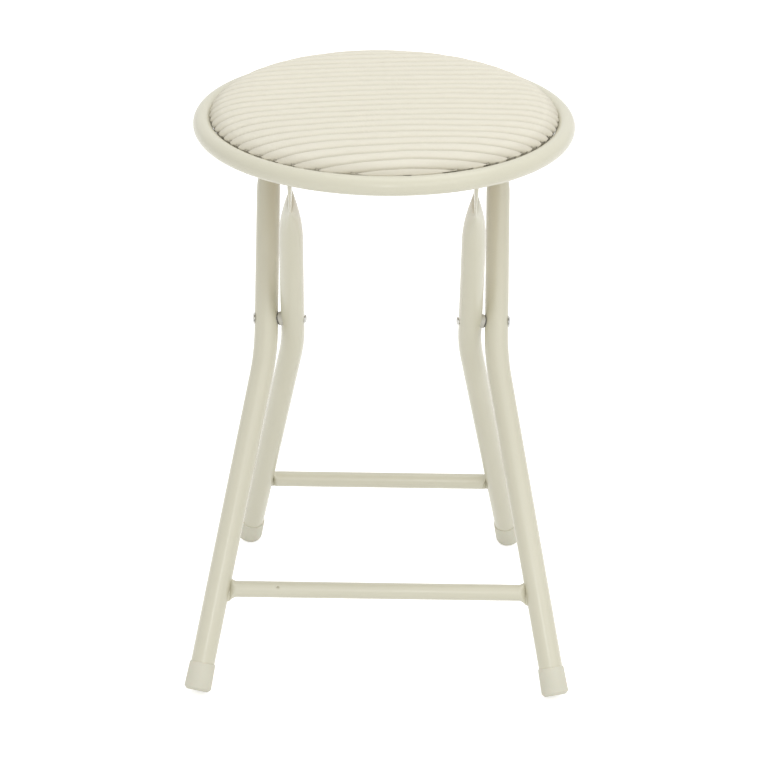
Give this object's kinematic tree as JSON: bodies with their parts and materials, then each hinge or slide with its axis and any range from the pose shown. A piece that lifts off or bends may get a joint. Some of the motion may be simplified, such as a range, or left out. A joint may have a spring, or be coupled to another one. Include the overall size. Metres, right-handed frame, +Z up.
{
  "type": "folding stool",
  "caption": "Round folding stool: a ribbed cushion in a tube ring on crossed steel legs with flattened, riveted tops, crossbars and plastic foot caps.",
  "frame": {"origin": "on the floor, under the middle of the open stool", "axes": "+Z up, -Y the front (the wide frame's feet and its crossbar), +X the stool's left as seen by a sitter who faces -Y"},
  "size_m": [0.3078, 0.3024, 0.4595],
  "materials": {
    "powder_coat": "cream powder coat, satin",
    "zinc": "bright zinc plated steel",
    "foot_plastic": "ivory moulded polythene",
    "bush_plastic": "grey moulded nylon",
    "plywood": "birch plywood",
    "corduroy": "cream ribbed corduroy",
    "foam": "white upholstery foam"
  },
  "bodies": {
    "outer_frame": {"foot_cap_front_left": "foot_plastic", "foot_cap_front_right": "foot_plastic", "front_crossbar": "powder_coat", "outer_leg_left": "powder_coat", "outer_leg_right": "powder_coat", "pivot_bush_left": "bush_plastic", "pivot_bush_right": "bush_plastic", "pivot_rivet_left": "zinc", "pivot_rivet_right": "zinc"},
    "inner_frame": {"foot_cap_rear_left": "foot_plastic", "foot_cap_rear_right": "foot_plastic", "front_pin_left": "zinc", "front_pin_right": "zinc", "inner_leg_left": "powder_coat", "inner_leg_right": "powder_coat", "rear_crossbar": "powder_coat"},
    "seat": {"board_screw_front_left": "zinc", "board_screw_front_right": "zinc", "board_screw_rear_left": "zinc", "board_screw_rear_right": "zinc", "hinge_washer_left": "zinc", "hinge_washer_right": "zinc", "rear_hinge_rivet_left": "zinc", "rear_hinge_rivet_right": "zinc", "seat_board": "plywood", "seat_cover": "corduroy", "seat_foam": "foam", "seat_rail_left": "powder_coat", "seat_rail_right": "powder_coat", "seat_ring": "powder_coat"}
  },
  "joints": [
    {"name": "scissor", "type": "hinge", "parent": "outer_frame", "child": "inner_frame", "pos_m": [0, 0, 0.268], "axis": [-1, 0, 0], "range_deg": [0, 51.5]},
    {"name": "seat_swing", "type": "hinge", "parent": "outer_frame", "child": "seat", "pos_m": [0, 0.07737, 0.412], "axis": [-1, 0, 0], "range_deg": [0, 117]}
  ],
  "couplings": [
    {"joint": "seat_swing", "follows": "scissor", "ratio": 2.2718}
  ]
}
